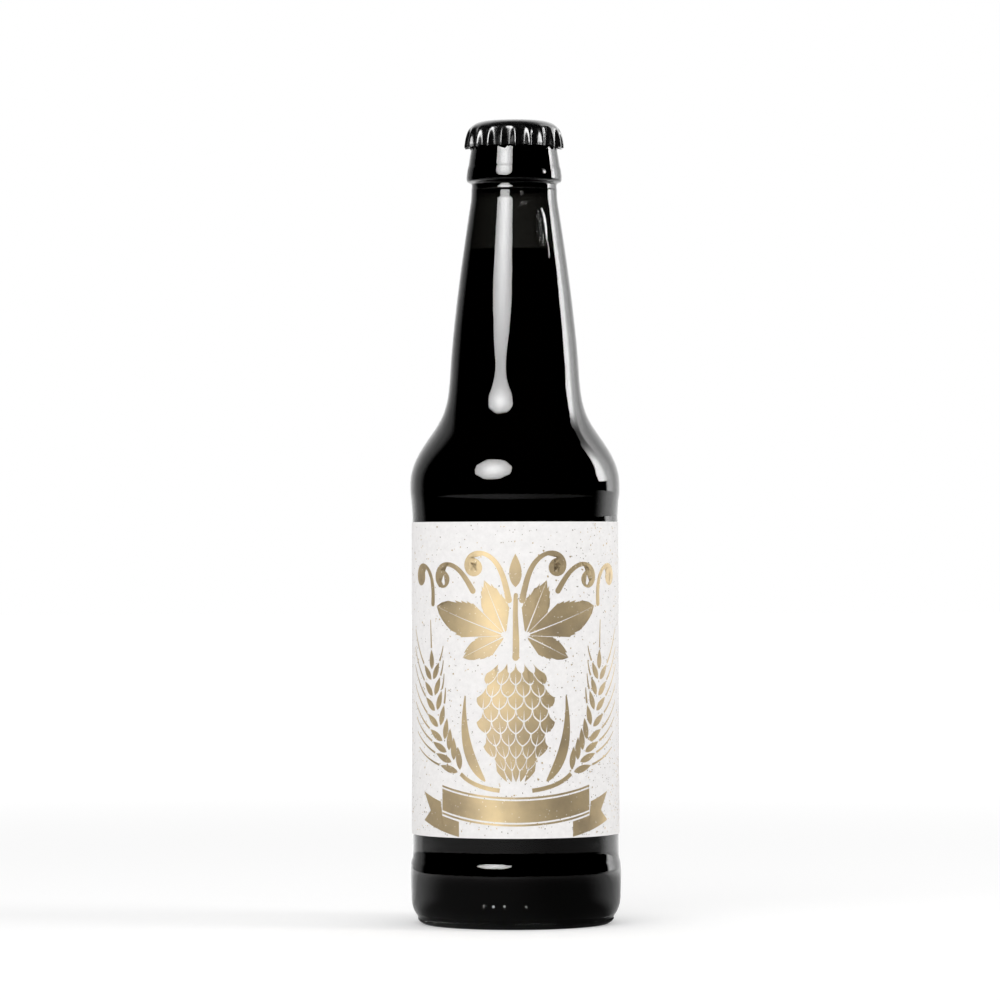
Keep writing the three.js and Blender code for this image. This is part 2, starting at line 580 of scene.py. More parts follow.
@dataclass
class MouldMarks:
    """What the mould leaves on the glass: dots and knurling low down, and runs and beads on the neck.

    Turns are degrees round to the right from the front. The dots all face one way, given as its turn and
    rise, and the bars of the knurling lie between two points of radius and height. All the marks are drawn as
    coarse as they need to be to show.
    """

    glass: Glass
    material: Material
    dot_places: tuple[int, ...] = (0, 1, 2, 4)
    dot_height: float = 6.8
    dot_turn: float = -17.9
    dot_pitch: float = 5.8
    dot_facing: tuple[float, float] = (-12.7, 16.0)
    dot_foot_radius: float = 0.75
    dot_top_radius: float = 0.25
    dot_depth: float = 0.45
    dot_lift: float = 0.02
    bars: int = 132
    bar_slant: float = 35.0
    bar_half_sizes: tuple[float, float, float] = (0.38, 0.3, 1.05)
    bars_low: tuple[float, float] = (27.25, 0.55)
    bars_high: tuple[float, float] = (28.2, 1.95)
    runs: tuple[Run, ...] = (
        Run(196.7, 205.3, 40.0, 36.4, 0.95, 0.31),
        Run(191.0, 197.0, 41.2, 40.0, 0.4, 0.13),
        Run(208.6, 210.4, 9.0, 8.6, 0.55, 0.12),
        Run(215.1, 216.6, 37.8, 36.4, 1.1, 0.37),
    )
    run_step: float = 0.4
    run_sunk: float = 0.02
    run_seed: int = 3
    side_beads: int = 100
    waist_beads: int = 26
    bead_seed: int = 8

    def build_dots(self) -> Piece:
        """Raises a row of flat-topped dots low on the heel, with one place empty.

        Returns:
            The new piece.
        """
        aside, rise = (math.radians(angle) for angle in self.dot_facing)
        facing = Vector((math.sin(aside), -math.cos(aside), math.tan(rise)))
        stand = facing.to_track_quat("Z", "Y").to_matrix().to_4x4()
        bm = bmesh.new()
        for dot in self.dot_places:
            turn = self.dot_turn + dot * self.dot_pitch
            place = self.glass.surface_point(turn, self.dot_height, -self.dot_lift)
            bmesh.ops.create_cone(bm, cap_ends=True, segments=14, radius1=self.dot_foot_radius * MM,
                                  radius2=self.dot_top_radius * MM, depth=self.dot_depth * MM,
                                  matrix=Matrix.Translation(place * MM) @ stand)
        return make_piece(bm, "mould_dots", self.material, sharp_above=12)

    def build_knurling(self) -> Piece:
        """Raises the slanted bars round the foot that keep the bottle off the cold conveyor.

        Returns:
            The new piece.
        """
        low, high = Vector(self.bars_low), Vector(self.bars_high)
        centre, lean = (low + high) / 2, math.atan2(high.x - low.x, high.y - low.y)
        bm = bmesh.new()
        for bar in range(self.bars):
            place = (
                Matrix.Rotation(FRONT + math.tau * bar / self.bars, 4, "Z")
                @ Matrix.Translation(Vector((centre.x, 0, centre.y)) * MM)
                @ Matrix.Rotation(lean, 4, "Y")
                @ Matrix.Rotation(math.radians(self.bar_slant), 4, "X")
                @ Matrix.Diagonal((*(s * MM for s in self.bar_half_sizes), 1))
            )
            bmesh.ops.create_icosphere(bm, subdivisions=1, radius=1, matrix=place)
        return make_piece(bm, "foot_knurling", self.material, sharp_above=180)

    def add_run(self, bm: BMesh, run: Run, rng: random.Random) -> None:
        """Adds one crooked run, with a sharp crest and a flat right flank.

        Args:
            bm: The shape that it goes in.
            run: The run.
            rng: What makes it crooked.
        """
        rings = int((run.high - run.low) / self.run_step)
        profile = ((-run.width * 0.6, 0.0), (0.0, -0.1), (run.width, 0.0), (-run.width * 0.1, run.proud))
        drift, bulge, loops = 0.0, 1.0, []
        for ring in range(rings + 1):
            part = ring / rings
            drift = 0.5 * drift + rng.uniform(-0.7, 0.7)
            bulge = 0.5 * bulge + rng.uniform(0.4, 0.6)
            swell = math.sin(math.pi * min(max(part, 0.03), 0.97)) ** 0.3 * bulge
            turn = run.low_turn + (run.high_turn - run.low_turn) * part + drift
            angle = FRONT + math.radians(turn)
            out = Vector((math.cos(angle), math.sin(angle), 0))
            across = Vector((-math.sin(angle), math.cos(angle), 0))
            centre = self.glass.surface_point(turn, run.low + (run.high - run.low) * part, self.run_sunk)
            loops.append([bm.verts.new((centre + (across * x + out * y) * swell) * MM) for x, y in profile])
        for first, second in zip(loops, loops[1:]):
            for k in range(4):
                bm.faces.new((first[k], first[(k + 1) % 4], second[(k + 1) % 4], second[k]))
        bm.faces.new(loops[0])
        bm.faces.new(reversed(loops[-1]))

    def build_runs(self) -> Piece:
        """Raises the thin runs in the glass, most of them on the right of the neck.

        Returns:
            The new piece.
        """
        rng = random.Random(self.run_seed)
        bm = bmesh.new()
        for run in self.runs:
            self.add_run(bm, run, rng)
        bmesh.ops.recalc_face_normals(bm, faces=bm.faces[:])
        return make_piece(bm, "neck_runs", self.material, sharp_above=18)

    def build_beads(self) -> Piece:
        """Raises the faceted beads beside the runs and at the top of the neck.

        Returns:
            The new piece.
        """
        rng = random.Random(self.bead_seed)
        beads = []  # Each one's turn, height and half height.
        for _ in range(self.side_beads):
            beads.append((rng.gauss(31.8, 1.7), rng.uniform(194.6, 204.6), rng.uniform(0.25, 0.6)))
        for _ in range(self.waist_beads):
            beads.append((rng.uniform(6, 16), rng.gauss(206.6, 0.4), rng.uniform(0.15, 0.32)))
        bm = bmesh.new()
        for turn, height, size in beads:
            place = (
                Matrix.Translation(self.glass.surface_point(turn, height, size * 0.1) * MM)
                @ Matrix.Rotation(FRONT + math.radians(turn), 4, "Z")
                @ Matrix.Diagonal((size * 0.42 * MM, size * 0.8 * MM, size * MM, 1))
                @ Matrix.Rotation(rng.uniform(0, math.tau), 4, "X")
            )
            bmesh.ops.create_icosphere(bm, subdivisions=2, radius=1, matrix=place)
        return make_piece(bm, "neck_beads", self.material, sharp_above=5)

    def build(self) -> None:
        """Builds all the marks."""
        self.build_dots()
        self.build_knurling()
        self.build_runs()
        self.build_beads()


@dataclass
class Beer:
    """The beer inside, up to its level in the neck. It reaches just into the wall, so that no air shows."""

    glass: Glass
    level: float = 193.0
    reach: float = 0.08
    meniscus: float = 0.7
    meniscus_width: float = 2.4

    def build(self, material: Material) -> Piece:
        """Builds the beer, with a meniscus round its level top.

        Args:
            material: What it is made of.

        Returns:
            The new piece.
        """
        wall = self.glass.inside().moved_in(-self.reach)
        edge = wall.radius_at(self.level + self.meniscus)
        outline = Outline([Vector((p.x, p.y - self.reach)) for p in wall.points if p.y < self.level])
        outline.points[0].x = 0
        outline.line_to(edge, self.level + self.meniscus)
        flat = edge - self.meniscus_width
        outline.curve_to((edge - 0.5, self.level + 0.1), (edge - 1.2, self.level), (flat, self.level), 6)
        outline.line_to(0, self.level, 4)
        bm = outline.turned(self.glass.turn_steps)
        self.glass.ripple(bm)
        beer = make_piece(bm, "beer_fill", material)
        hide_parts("beer")
        return beer


@dataclass
class CrownCap:
    """The pressed tinplate cap, with its skirt crimped into flutes round the lip.

    The rim is scalloped: it rises a little in the valleys, from scallop_top down.
    """

    top: float = 231.0
    bottom: float = 223.15
    sheet: float = 0.26
    flutes: int = 21
    first_ridge: float = 1.6
    valley_radius: float = 13.0
    valley_softness: float = 0.25
    ridge_sharpness: float = 1.7
    scallop: float = 0.4
    scallop_top: float = 225.2
    plain_radius: float = 9.0
    plain_depth: float = 0.5
    steps_per_flute: int = 16

    def skin(self, inset: float) -> Outline:
        """Draws one face of the sheet, as it is before the flutes are pressed.

        Args:
            inset: How far the face lies inside the outer one.

        Returns:
            The outline from the axis to the rim.
        """
        outline = Outline()
        outline.line_to(0, self.top - inset)
        outline.curve_to((3, self.top - inset), (7.5, self.top - inset), (9.4, self.top - 0.16 - inset), 8)
        outline.curve_to((11.6 - inset * 0.5, 230.45 - inset), (12.9 - inset, 229.2 - inset * 0.5),
                         (13.45 - inset, 227.9), 16)
        outline.curve_to((13.85 - inset, 226.9), (14.16 - inset, 225.8), (14.28 - inset, 224.7), 16)
        outline.curve_to((14.32 - inset, 224.4), (14.4 - inset, 224.2), (14.4 - inset, 223.9), 3)
        outline.line_to(14.4 - inset, self.bottom, 3)
        return outline

    def press(self, bm: BMesh) -> None:
        """Presses the skirt in to upright valleys between narrow ridges.

        Args:
            bm: The turned cap, in metres.
        """
        plain = self.skin(0)
        for vert in bm.verts:
            height = vert.co.z / MM
            radius = math.hypot(vert.co.x, vert.co.y) / MM
            if radius > self.plain_radius and height < self.top - self.plain_depth:
                proud = plain.radius_at(height) - self.valley_radius
                depth = (proud + math.hypot(proud, self.valley_softness)) / 2
                turn = math.atan2(vert.co.x, -vert.co.y) - math.radians(self.first_ridge)
                valley = 1 - (0.5 + 0.5 * math.cos(self.flutes * turn)) ** self.ridge_sharpness
                low = smooth_step(self.scallop_top, self.bottom, height)
                vert.co.xy *= 1 - depth * valley / radius
                vert.co.z += self.scallop * MM * valley * low

    def build(self, material: Material) -> Piece:
        """Builds the cap.

        Args:
            material: What it is made of.

        Returns:
            The new piece.
        """
        shell = Outline(self.skin(0).points + list(reversed(self.skin(self.sheet).points)))
        bm = shell.turned(self.flutes * self.steps_per_flute)
        self.press(bm)
        cap = make_piece(bm, "cap_shell", material, sharp_above=50)
        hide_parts("crown_cap")
        return cap


class Side(Enum):
    """Which half of the label a motif lies on."""

    LEFT = -1
    RIGHT = 1


def stroke(path: Shape, width: Callable[[float], float], end_steps: int = 0) -> Shape:
    """Draws a pen stroke.

    Args:
        path: The middle of the stroke.
        width: The stroke's full width at each fraction of the way along.
        end_steps: How many steps round off each end, or 0 for square ends.

    Returns:
        The stroke's closed outline.
    """
    left, right = [], []
    last = len(path) - 1
    for i, point in enumerate(path):
        ahead = (path[min(i + 1, last)] - path[max(i - 1, 0)]).normalized()
        out = Vector((-ahead.y, ahead.x)) * width(i / last) / 2
        left.append(point + out)
        right.append(point - out)
    ends = []
    for point, arm in ((path[-1], left[-1]), (path[0], right[0])):
        turns = [Matrix.Rotation(-math.pi * k / end_steps, 2) for k in range(1, end_steps)]
        ends.append([point + turn @ (arm - point) for turn in turns])
    return left + ends[0] + list(reversed(right)) + ends[1]


def curl(start: Vector, heading: float, length: float, turn: float, tightening: float,
         steps: int = 44) -> Shape:
    """Draws a tendril's path, which bends ever more tightly.

    Args:
        start: Where it starts.
        heading: Its first direction, in degrees from the right, anticlockwise.
        length: Its length.
        turn: How far it turns on its way, in degrees.
        tightening: How late it does most of its turning; 1 is an even bend.
        steps: How many steps it has.

    Returns:
        The points along it.
    """
    path = [start.copy()]
    for k in range(steps):
        angle = math.radians(heading + turn * ((k + 0.5) / steps) ** tightening)
        path.append(path[-1] + Vector((math.cos(angle), math.sin(angle))) * length / steps)
    return path


def seed_shape(foot: Vector, heading: Vector, length: float, width: float) -> Shape:
    """Draws one seed: a pointed oval that is widest below its middle.

    Args:
        foot: Where it starts.
        heading: The way that it points.
        length: Its length.
        width: Its greatest width.

    Returns:
        Its closed outline.
    """
    across = Vector((-heading.y, heading.x))
    steps = 9
    sizes = [(k / steps, math.sin(math.pi * (k / steps) ** 0.8) ** 0.9 / 2) for k in range(steps + 1)]
    up = [foot + heading * length * t - across * width * w for t, w in sizes]
    down = [foot + heading * length * t + across * width * w for t, w in reversed(sizes[1:-1])]
    return up + down


@dataclass
class Artwork:
    """A generic brewer's ornament of hops, barley and a bare ribbon, as flat shapes in millimetres.

    The first coordinate runs round the label from the middle of its front, and the second up from there.
    """

    shapes: list[Shape] = field(default_factory=list)
    seed_length: float = 6.6
    seed_shortening: float = 1.3
    seed_width: float = 2.0
    seed_lean: float = 34.0
    tip_seed_length: float = 5.6
    tip_seed_width: float = 2.1
    outer_beard: float = 11.5
    inner_beard: float = 4.5

    @staticmethod
    def beard_width(part: float) -> float:
        """Returns a beard's width at each fraction of the way along."""
        return 0.6 - 0.35 * part

    def add(self, shape: Shape, side: Side = Side.RIGHT) -> None:
        """Adds a shape, mirrored if it lies on the left."""
        self.shapes.append([Vector((p.x * side.value, p.y)) for p in shape])

    def add_turned(self, shape: Shape, middle: Vector, turn: float, side: Side = Side.RIGHT) -> None:
        """Adds a shape that was drawn round the origin, turned by degrees and moved."""
        spin = Matrix.Rotation(math.radians(turn), 2)
        self.add([middle + spin @ p for p in shape], side)

    def hop_cone(self, middle: Vector, half_width: float, height: float, across: int = 5,
                 rows: int = 9) -> None:
        """Draws a hanging hop cone of overlapping bracts, parted by thin bare lines.

        Args:
            middle: Its middle.
            half_width: Half of its greatest width.
            height: Its height.
            across: How many bracts a row has.
            rows: How many rows it has.
        """
        step = height / (rows + 1)
        cell = 2.0 / across

        def swell(level: float) -> float:
            """Returns the cone's half width at a level above its middle."""
            part = min(max((height / 2 - level) / height, 0.0), 1.0)
            return half_width * math.sin(math.pi * (0.06 + 0.88 * part) ** 0.8) ** 0.75

        edge = along([(-cell / 2, 0), (-cell / 2, -step * 0.6), (-cell * 0.22, -step * 0.8), (0, -step)], 9)
        vein_foot = Vector((cell * 0.04, -step * 0.95))
        vein = [Vector((-vein_foot.x, vein_foot.y)), Vector((0, step * 0.1)), vein_foot]
        low = edge[:-1] + vein + [Vector((-p.x, p.y)) for p in reversed(edge[:-1])]
        right_roof = [p + Vector((cell / 2, step)) for p in reversed(edge[1:-1])]
        left_roof = [Vector((-p.x, p.y)) for p in reversed(right_roof)]
        peak = [Vector((0, step * 0.9))]
        tile = [p * 0.91 - Vector((0, 0.03 * step)) for p in low + right_roof + peak + left_roof]
        for row in range(rows):
            level = height / 2 - step * (row + 1)
            offset = row % 2 / 2
            for column in range(-across, across + 1):
                centre = (column + offset) * cell
                if abs(centre) <= 1 - cell * 0.4:
                    bract = [Vector(((centre + p.x) * swell(level + p.y), level + p.y)) for p in tile]
                    self.add([middle + p for p in bract])

    def hop_leaf(self, base: Vector, turn: float, size: float, side: Side, lobes: Sequence[tuple]) -> None:
        """Draws a lobed, toothed hop leaf, parted along its veins.

        Args:
            base: Where its stalk meets it.
            turn: Degrees from straight up, leaning outwards.
            size: The length of its longest lobe.
            side: Which half of the label it lies on.
            lobes: For each lobe its angle from the turn and its length, as a part of size.
        """
        vein, sharpness, teeth, heart = 0.4, 0.5, 6, 0.06

        def lobe(tip: float, away: float) -> float:
            """Returns how far a lobe reaches at some degrees away from its tip."""
            return size * tip / (1 + (math.radians(abs(away)) / sharpness) ** 1.45)

        def ray(angle: float, far: float, shift: float = 0.0) -> Vector:
            """Returns the point so far from the base at an angle, shifted sideways."""
            heading = Vector((math.sin(math.radians(angle)), math.cos(math.radians(angle))))
            return heading * far + Vector((heading.y, -heading.x)) * shift

        def half_lobe(angle: float, tip: float, span: float) -> Shape:
            """Draws the half of a lobe that lies between its vein and a span of degrees to one side.

            Args:
                angle: The vein's angle.
                tip: The lobe's length, as a part of the leaf's size.
                span: The degrees that it takes up, below 0 for the left half.

            Returns:
                Its outline, from the vein to the rim.
            """
            outward = math.copysign(1, span)
            spine = [ray(angle, size * tip * t, outward * vein * (1.03 - t) / 2) for t in (heart, 0.4, 0.7)]
            rim = [ray(angle, size * tip, outward * 0.03)]
            for tooth in range(1, teeth + 1):
                away = span * (tooth / teeth) ** 0.9
                rim.append(ray(angle + away * 0.93, lobe(tip, away * 0.93) * 0.93))
                rim.append(ray(angle + away, lobe(tip, away) * (1.0 if tooth < teeth else 0.96)))
            return spine + rim

        ends = [lobes[0][0] - 30.0] + [0.0] * (len(lobes) - 1) + [lobes[-1][0] + 30.0]
        for i in range(len(lobes) - 1):
            ends[i + 1] = (lobes[i][0] + lobes[i + 1][0]) / 2
        for i, (angle, tip) in enumerate(lobes):
            for edge in (ends[i], ends[i + 1]):
                near = ray(edge - math.copysign(2.0, edge - angle), size * heart)
                self.add_turned(half_lobe(angle, tip, (edge - angle) * 0.97) + [near], base, -turn, side)

    def barley_ear(self, spine: Shape, side: Side, pairs: int = 8) -> None:
        """Draws an ear of barley along a spine: two rows of seeds, each with its beard, and one at the tip.

        Args:
            spine: Points along its middle, evenly spaced.
            side: Which half of the label it lies on.
            pairs: How many pairs of seeds it has.
        """
        last = len(spine) - 1
        for pair in range(pairs):
            here = round(last * pair / pairs)
            ahead = (spine[here + 1] - spine[here]).normalized()
            length = self.seed_length - self.seed_shortening * pair / pairs
            for lean, far in ((-1, self.outer_beard), (1, self.inner_beard if pair > 3 else 0.0)):
                out = Matrix.Rotation(math.radians(self.seed_lean * lean), 2) @ ahead
                beside = Matrix.Rotation(math.radians(90 * lean), 2) @ ahead
                foot = spine[here] + beside * 0.5
                self.add(seed_shape(foot, out, length, self.seed_width), side)
                if far:
                    tip = foot + out * (length + 0.5)
                    end = tip + (out + ahead * 0.35).normalized() * far
                    last_handle = end - (out + ahead).normalized() * far * 0.3
                    beard = along([tip, tip + out * far * 0.35, last_handle, end], 10)
                    self.add(stroke(beard, self.beard_width), side)
        ahead = (spine[-1] - spine[-2]).normalized()
        foot = spine[round(last * (pairs - 1) / pairs)] + ahead * 2.9
        self.add(seed_shape(foot, ahead, self.tip_seed_length, self.tip_seed_width), side)
        tip_beard = [foot + ahead * (self.tip_seed_length + 0.5 + k) for k in range(9)]
        self.add(stroke(tip_beard, self.beard_width), side)

    def tendril(self, start: tuple, heading: float, length: float, turn: float, tightening: float,
                side: Side, thick: float) -> None:
        """Draws a tapering tendril along a curl(), swelling to a round bud at its end."""
        path = curl(Vector(start), heading, length, turn, tightening)
        self.add(stroke(path, lambda t: thick * (1 - 0.7 * t + 0.9 * smooth_step(0.9, 1.0, t)), 6), side)

    def ribbon(self, middle: Vector, half_length: float, width: float, sag: float) -> None:
        """Draws a bare ribbon that sags between its raised ends, with a folded tail at each.

        Args:
            middle: The middle of its face.
            half_length: Half of its length between the folds.
            width: Its width.
            sag: How much lower its middle is than its ends.
        """

        def place(x: float, y: float) -> Vector:
            """Returns the point at a place along the ribbon and across it."""
            return middle + Vector((x, y + sag * (x / half_length) ** 2))

        steps, hem, gap = 24, 0.55, 0.5
        xs = [half_length * (2 * k / steps - 1) for k in range(steps + 1)]
        field_half = width / 2 - hem - gap
        self.add([place(x, -field_half) for x in xs] + [place(x, field_half) for x in reversed(xs)])
        for edge in (-1, 1):
            inner, outer = edge * (width / 2 - hem), edge * width / 2
            self.add([place(x, inner) for x in xs] + [place(x, outer) for x in reversed(xs)])
        inner, edge, outer = half_length - 6.0, half_length + 0.6, half_length + 8.5
        notch, drop = 3.4, width * 0.6
        low = [place(inner + (outer - inner) * k / 8, -width / 2 - drop) for k in range(9)]
        high = [place(outer + (edge - outer) * k / 5, width / 2 - drop) for k in range(6)]
        fold = [place(edge, -width / 2 - 0.6), place(inner, -width / 2 - 0.6)]
        for side in Side:
            self.add(low + [place(outer - notch, -drop)] + high + fold, side)

    def draw_front(self) -> None:
        """Lays out the front: a hop cone under two leaves, two ears of barley, and the ribbon below."""
        self.hop_cone(Vector((0, -11.8)), 11.8, 34.5)
        self.ribbon(Vector((0, -37.2)), 23.0, 8.2, 3.2)
        stem = along([(0, 6.4), (0.5, 12), (-0.4, 18), (0.1, 24.0)], 14)
        self.add(stroke(stem, lambda t: 1.9 - 0.7 * t, 6))
        self.add(seed_shape(Vector((0, 26.2)), Vector((0, 1)), 9.5, 3.6))
        leaf = ((-48.0, 0.7), (0.0, 1.0), (46.0, 0.6))
        for side in Side:
            self.hop_leaf(Vector((2.7, 12.6)), 70.0, 24.0, side, leaf)
            self.barley_ear(along([(17.0, -25.8), (22.5, -19.5), (27.2, -9), (27.8, 5.5)], 61), side)
            stalk = along([(4.6, -31.2), (9, -30.7), (13.5, -29.4), (16.4, -26.6)], 8)
            self.add(stroke(stalk, lambda t: 1.2), side)
            blade = along([(8.8, -28.6), (13.2, -24), (16.2, -17), (14.9, -4.5)], 24)
            self.add(stroke(blade, lambda t: 0.4 + 2.6 * math.sin(math.pi * t ** 0.8)), side)
            self.tendril((1.9, 22.6), 78.0, 35.0, -490.0, 2.6, side, 1.8)
            self.tendril((12.4, 25.2), 58.0, 30.0, -470.0, 2.3, side, 1.7)
            self.tendril((27.0, 21.5), 92.0, 28.0, -450.0, 2.2, side, 1.6)


@dataclass(frozen=True)
class Spray:
    """How many flecks are scattered, their least and greatest width, and the seed of their places."""

    count: int
    widths: tuple[float, float]
    seed: int


@dataclass
class Label:
    """The paper label, wrapped round the panel and lapped at the back, with its foil and flecks."""

    glass: Glass
    bottom: float = 26.0
    top: float = 115.5
    clear: float = 0.03
    paper: float = 0.1
    lap: float = 7.0
    lap_rise: float = 1.5
    lap_gap: float = 0.01
    foil: float = 0.03
    ink: float = 0.012
    print_gap: float = 0.008
    foil_spray: Spray = Spray(1400, (0.22, 0.7), 5)
    ink_spray: Spray = Spray(2800, (0.18, 0.52), 11)
    column: float = 1.25
    turn_steps: int = 256
    level_steps: int = 24

    @property
    def middle(self) -> float:
        """The height of the label's middle."""
        return (self.bottom + self.top) / 2

    def face_radius(self, height: float) -> float:
        """Returns the radius of the paper's face at a height."""
        return self.glass.panel_radius(height) + self.clear + self.paper

    @property
    def half_length(self) -> float:
        """Half of the way round, from the front to the seam."""
        return math.pi * self.face_radius(self.middle)

    def wrap(self, bm: BMesh) -> None:
        """Bends flat work round the panel, and lifts what lies on the lap.

        Args:
            bm: The flat work, in metres. There x runs round the label, -y stands off it, and z is the height
                above its middle.
        """
        lap_start = self.half_length - self.lap / 2
        for vert in bm.verts:
            around, off, height = vert.co.x / MM, -vert.co.y / MM, vert.co.z / MM + self.middle
            lift = (self.paper + self.lap_gap) * smooth_step(lap_start - self.lap_rise, lap_start, around)
            radius = self.face_radius(height) + off + lift
            angle = FRONT + math.pi * around / self.half_length
            vert.co = Vector((math.cos(angle) * radius, math.sin(angle) * radius, height)) * MM

    def build_paper(self, material: Material) -> Piece:
        """Builds the paper, whose end laps over its start at the back.

        Args:
            material: What it is made of.

        Returns:
            The new piece.
        """
        half = Vector((self.half_length + self.lap / 2, (self.top - self.bottom) / 2)) * MM
        stand = Matrix.Rotation(math.pi / 2, 4, "X") @ Matrix.Diagonal((half.x, half.y, 1, 1))
        bm = bmesh.new()
        bmesh.ops.create_grid(bm, x_segments=self.turn_steps, y_segments=self.level_steps, size=1,
                              matrix=stand)
        self.thicken(bm, self.paper)
        bmesh.ops.translate(bm, vec=(0, self.paper * MM, 0), verts=bm.verts[:])
        self.wrap(bm)
        paper = make_piece(bm, "label_paper", material)
        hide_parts("label")
        return paper

    @staticmethod
    def thicken(bm: BMesh, thickness: float) -> None:
        """Gives flat work its thickness, from the sheet that it lies on to -y.

        Args:
            bm: The flat work.
            thickness: Its thickness in millimetres.
        """
        for face in bm.faces:
            face.normal_update()
            if face.normal.y > 0:
                face.normal_flip()
        bmesh.ops.solidify(bm, geom=bm.faces[:], thickness=thickness * MM)
        bmesh.ops.translate(bm, vec=(0, -max(v.co.y for v in bm.verts), 0), verts=bm.verts[:])
        bmesh.ops.recalc_face_normals(bm, faces=bm.faces[:])

    def build_print(self, shapes: list[Shape], thickness: float, name: str, material: Material) -> Piece:
        """Builds flat shapes as one thin raised piece on the paper.

        Args:
            shapes: The shapes, in millimetres round the label and above its middle.
            thickness: How far they stand off the paper.
            name: The piece's name.
            material: What they are printed in.

        Returns:
            The new piece.
        """
        bm = bmesh.new()
        for shape in shapes:
            bm.faces.new([bm.verts.new((p.x * MM, 0, p.y * MM)) for p in shape])
        bmesh.ops.triangulate(bm, faces=bm.faces[:], ngon_method="EAR_CLIP")
        reach = int(max(abs(v.co.x) for v in bm.verts) / MM / self.column)
        for cut in range(-reach, reach + 1):
            bmesh.ops.bisect_plane(bm, geom=bm.verts[:] + bm.edges[:] + bm.faces[:], dist=1e-9,
                                   plane_co=(cut * self.column * MM, 0, 0), plane_no=(1, 0, 0))
        self.thicken(bm, thickness)
        bmesh.ops.translate(bm, vec=(0, -self.print_gap * MM, 0), verts=bm.verts[:])
        self.wrap(bm)
        return make_piece(bm, name, material)

    def flecks(self, spray: Spray) -> list[Shape]:
        """Scatters small ragged flecks, thicker towards the right of the front and the foot.

        Args:
            spray: How many there are, and of what size.

        Returns:
            The flecks' outlines.
        """
        rng = random.Random(spray.seed)
        span = self.half_length - self.lap / 2 - 0.5
        half_height = (self.top - self.bottom) / 2 - 0.6
        shapes = []
        while len(shapes) < spray.count:
            middle = Vector((rng.uniform(-span, span + self.lap), rng.uniform(-half_height, half_height)))
            crowd = 0.3 + 0.45 * smooth_step(-15, 30, middle.x) + 0.25 * smooth_step(20, -40, middle.y)
            if rng.random() > crowd:
                continue
            width, stretch, turn = rng.uniform(*spray.widths), rng.uniform(0.5, 1.0), rng.uniform(0, math.tau)
            corners = []
            for k in range(6):
                angle = math.tau * k / 6
                far = width / 2 * rng.uniform(0.7, 1.1)
                corner = Vector((math.cos(angle) * far, math.sin(angle) * far * stretch))
                corners.append(Matrix.Rotation(turn, 2) @ corner)
            shapes.append([middle + p for p in corners])
        return shapes


@dataclass(frozen=True)
class Aim:
    """A direction from the bottle's middle, in degrees round from the camera, to the right, and up."""

    turn: float
    rise: float

    def place(self, distance: float, height: float) -> Vector:
        """Finds the point this way.

        Args:
            distance: How far away it is, in metres.
            height: The height that it is aimed from.

        Returns:
            The point, in metres.
        """
        turn, rise = math.radians(self.turn), math.radians(self.rise)
        away = Vector((math.sin(turn) * math.cos(rise), -math.cos(turn) * math.cos(rise), math.sin(rise)))
        return away * distance + Vector((0, 0, height))

    def facing_back(self, distance: float, height: float) -> Matrix:
        """Finds where a lamp hangs this way, turned back to where it is aimed from.

        Args:
            distance: How far away it is, in metres.
            height: The height that it is aimed from.

        Returns:
            The lamp's place and turn.
        """
        position = self.place(distance, height)
        turned = (Vector((0, 0, height)) - position).to_track_quat("-Z", "Y").to_matrix().to_4x4()
        return Matrix.Translation(position) @ turned


@dataclass(frozen=True)
class Lamp:
    """A soft round lamp that lights only matt things, with its size in metres and its power in watts."""

    name: str
    aim: Aim
    size: float
    power: float


@dataclass(frozen=True)
class Fade:
    """A smooth change from a first strength to a last one, while a measure goes from start to end."""

    start: float
    end: float
    first: float
    last: float

    def over(self, tree: Tree, measure: Socket | Node) -> Node:
        """Adds the fade over a measure to a tree."""
        reach = {"From Min": self.start, "From Max": self.end, "To Min": self.first, "To Max": self.last}
        return add_node(tree, "MapRange", {"Value": measure, **reach}, interpolation_type="SMOOTHSTEP")


def combined(tree: Tree, operation: str, *parts: Socket | Node) -> Node:
    """Joins several values into one.

    Args:
        tree: The tree that they are in.
        operation: What is done with each two of them, such as "MULTIPLY".
        parts: The values.

    Returns:
        The node that has the result.
    """
    total = parts[0]
    for part in parts[1:]:
        total = add_node(tree, "Math", {0: total, 1: part}, operation=operation)
    return total


# How brightly the pale wall behind shows in shiny things, and the end of the screen beside it.
BACK_WALL = 1.16
SCREEN_END = 3.1


